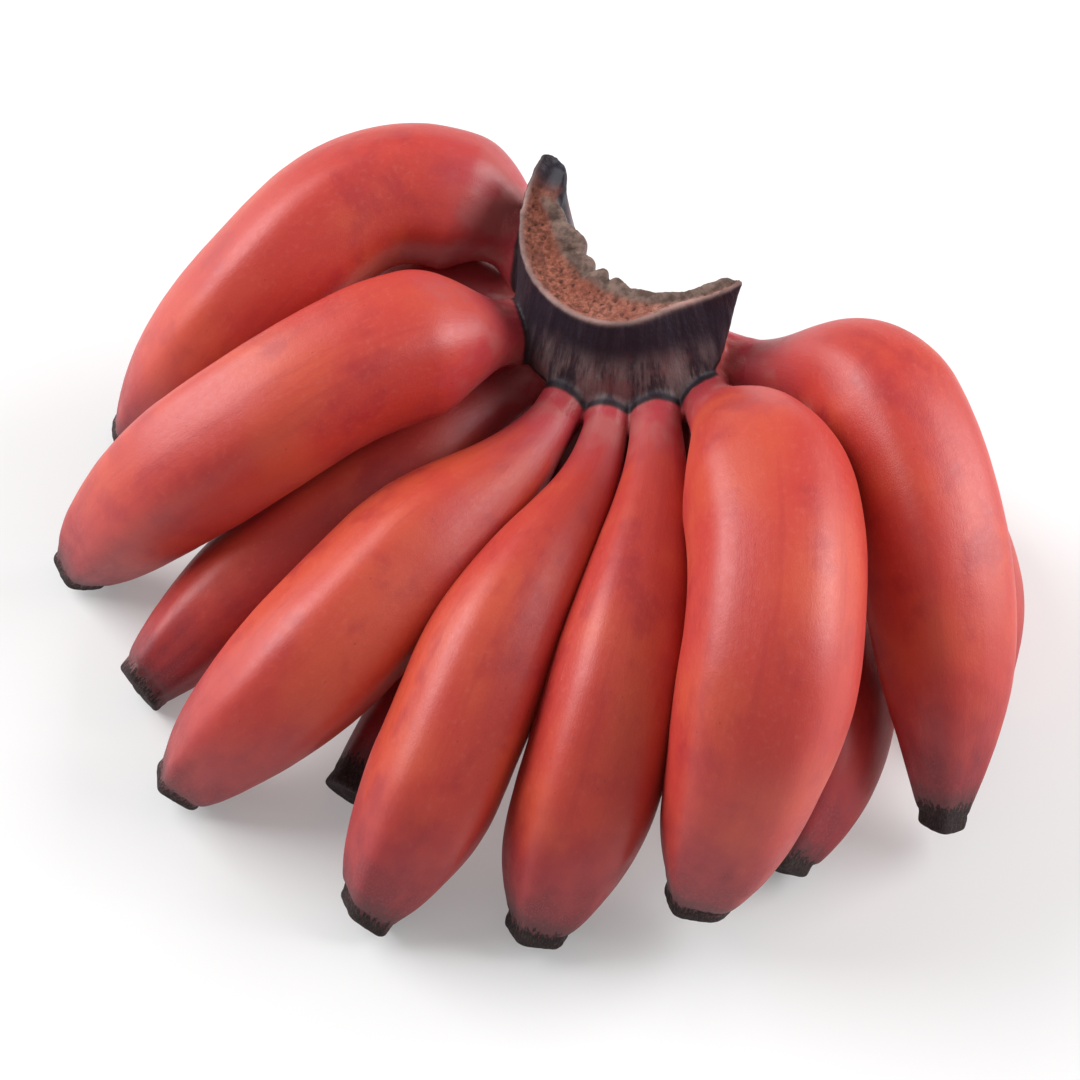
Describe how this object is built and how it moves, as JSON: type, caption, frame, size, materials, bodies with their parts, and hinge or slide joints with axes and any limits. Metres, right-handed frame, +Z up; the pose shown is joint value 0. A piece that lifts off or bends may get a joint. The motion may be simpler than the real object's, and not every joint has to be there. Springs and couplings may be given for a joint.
{
  "type": "red banana hand",
  "caption": "Hand of short, thick, maroon-red bananas with blunt dark tips, fanned in two rows from one dark, curved, woody crown.",
  "frame": {"origin": "centre of the bounding box in X and Y, at the height of the surface that the hand lies on", "axes": "+X along the greatest width of the fan, from the banana beside the crown's pointed horn towards the one beside its blunt end; +Y from the fanned tips back towards the open side of the crown; +Z up from the surface the tips rest on"},
  "size_m": [0.2712, 0.2243, 0.1056],
  "materials": {
    "crown_bark": "matte",
    "banana_skin": "satin",
    "banana_skin_lower": "satin"
  },
  "bodies": {
    "root": {"crown": "crown_bark", "banana_upper_1": "banana_skin", "banana_upper_2": "banana_skin", "banana_upper_3": "banana_skin", "banana_upper_4": "banana_skin", "banana_upper_5": "banana_skin", "banana_upper_6": "banana_skin", "banana_upper_7": "banana_skin", "banana_lower_1": "banana_skin_lower", "banana_lower_2": "banana_skin_lower", "banana_lower_3": "banana_skin_lower", "banana_lower_4": "banana_skin_lower", "banana_lower_5": "banana_skin_lower"}
  },
  "joints": []
}
